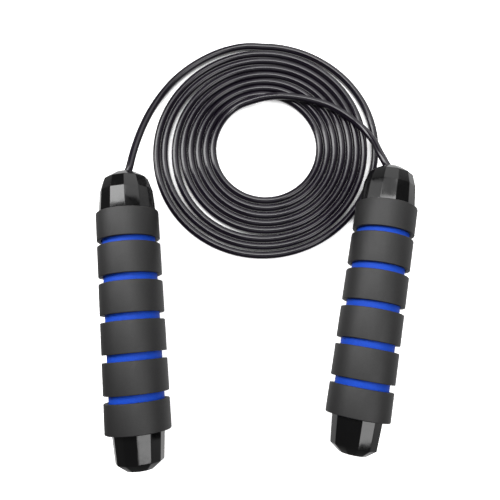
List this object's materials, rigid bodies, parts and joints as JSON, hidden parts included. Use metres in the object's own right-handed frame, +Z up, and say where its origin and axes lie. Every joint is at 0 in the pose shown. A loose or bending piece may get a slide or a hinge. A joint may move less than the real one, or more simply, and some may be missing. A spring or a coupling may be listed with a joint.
{
  "type": "jump rope",
  "caption": "Jump rope lying flat: two banded foam-grip handles with faceted end caps on ball bearings, and a thin round rope wound into a flat coil.",
  "frame": {"origin": "centre, on the floor plane, of the box around the two handles (the rope left out)", "axes": "+Z up from the plane the rope lies on, +Y from the handles' tail caps towards their noses and the coil, +X from the left handle to the right one"},
  "size_m": [0.1842, 0.2545, 0.035],
  "materials": {
    "black_foam": "matt closed-cell foam",
    "blue_foam": "matt closed-cell foam",
    "cap_plastic": "glossy moulded",
    "core_plastic": "moulded",
    "bearing_steel": "ground",
    "zinc": "zinc plated",
    "brass": "turned",
    "rope_pvc": "glossy extruded"
  },
  "bodies": {
    "rope": {"rope_coil": "rope_pvc", "left_rope_lead": "rope_pvc", "left_rope_end": "rope_pvc", "left_rope_bush": "brass", "left_rope_stop_collar": "zinc", "left_rope_stop_screw": "bearing_steel", "left_bearing_inner_race": "bearing_steel", "right_rope_lead": "rope_pvc", "right_rope_end": "rope_pvc", "right_rope_bush": "brass", "right_rope_stop_collar": "zinc", "right_rope_stop_screw": "bearing_steel", "right_bearing_inner_race": "bearing_steel"},
    "left_handle": {"left_core_tube": "core_plastic", "left_foam_sleeve": "blue_foam", "left_nose_cap": "cap_plastic", "left_bearing_outer_race": "bearing_steel", "left_bearing_retaining_ring": "zinc", "left_foam_band_1": "black_foam", "left_foam_band_2": "black_foam", "left_foam_band_3": "black_foam", "left_foam_band_4": "black_foam", "left_foam_band_5": "black_foam", "left_foam_band_6": "black_foam"},
    "left_ball_set": {"left_bearing_balls": "bearing_steel"},
    "left_tail_cap": {"left_tail_cap": "cap_plastic"},
    "right_handle": {"right_core_tube": "core_plastic", "right_foam_sleeve": "blue_foam", "right_nose_cap": "cap_plastic", "right_bearing_outer_race": "bearing_steel", "right_bearing_retaining_ring": "zinc", "right_foam_band_1": "black_foam", "right_foam_band_2": "black_foam", "right_foam_band_3": "black_foam", "right_foam_band_4": "black_foam", "right_foam_band_5": "black_foam", "right_foam_band_6": "black_foam"},
    "right_ball_set": {"right_bearing_balls": "bearing_steel"},
    "right_tail_cap": {"right_tail_cap": "cap_plastic"}
  },
  "joints": [
    {"name": "left_handle_spin", "type": "hinge", "parent": "rope", "child": "left_handle", "pos_m": [-0.07613, 0.07115, 0.0175], "axis": [-0.0854, 0.9963, 0], "continuous": true},
    {"name": "left_ball_roll", "type": "hinge", "parent": "rope", "child": "left_ball_set", "pos_m": [-0.07613, 0.07115, 0.0175], "axis": [-0.0854, 0.9963, 0], "continuous": true},
    {"name": "left_tail_cap_pull", "type": "slide", "parent": "left_handle", "child": "left_tail_cap", "axis": [0.0854, -0.9963, 0], "range_m": [0, 0.014]},
    {"name": "right_handle_spin", "type": "hinge", "parent": "rope", "child": "right_handle", "pos_m": [0.07803, 0.0754, 0.0175], "axis": [0.184, 0.9829, 0], "continuous": true},
    {"name": "right_ball_roll", "type": "hinge", "parent": "rope", "child": "right_ball_set", "pos_m": [0.07803, 0.0754, 0.0175], "axis": [0.184, 0.9829, 0], "continuous": true},
    {"name": "right_tail_cap_pull", "type": "slide", "parent": "right_handle", "child": "right_tail_cap", "axis": [-0.184, -0.9829, 0], "range_m": [0, 0.014]}
  ],
  "couplings": [
    {"joint": "left_ball_roll", "follows": "left_handle_spin", "ratio": 0.575},
    {"joint": "right_ball_roll", "follows": "right_handle_spin", "ratio": 0.575}
  ]
}
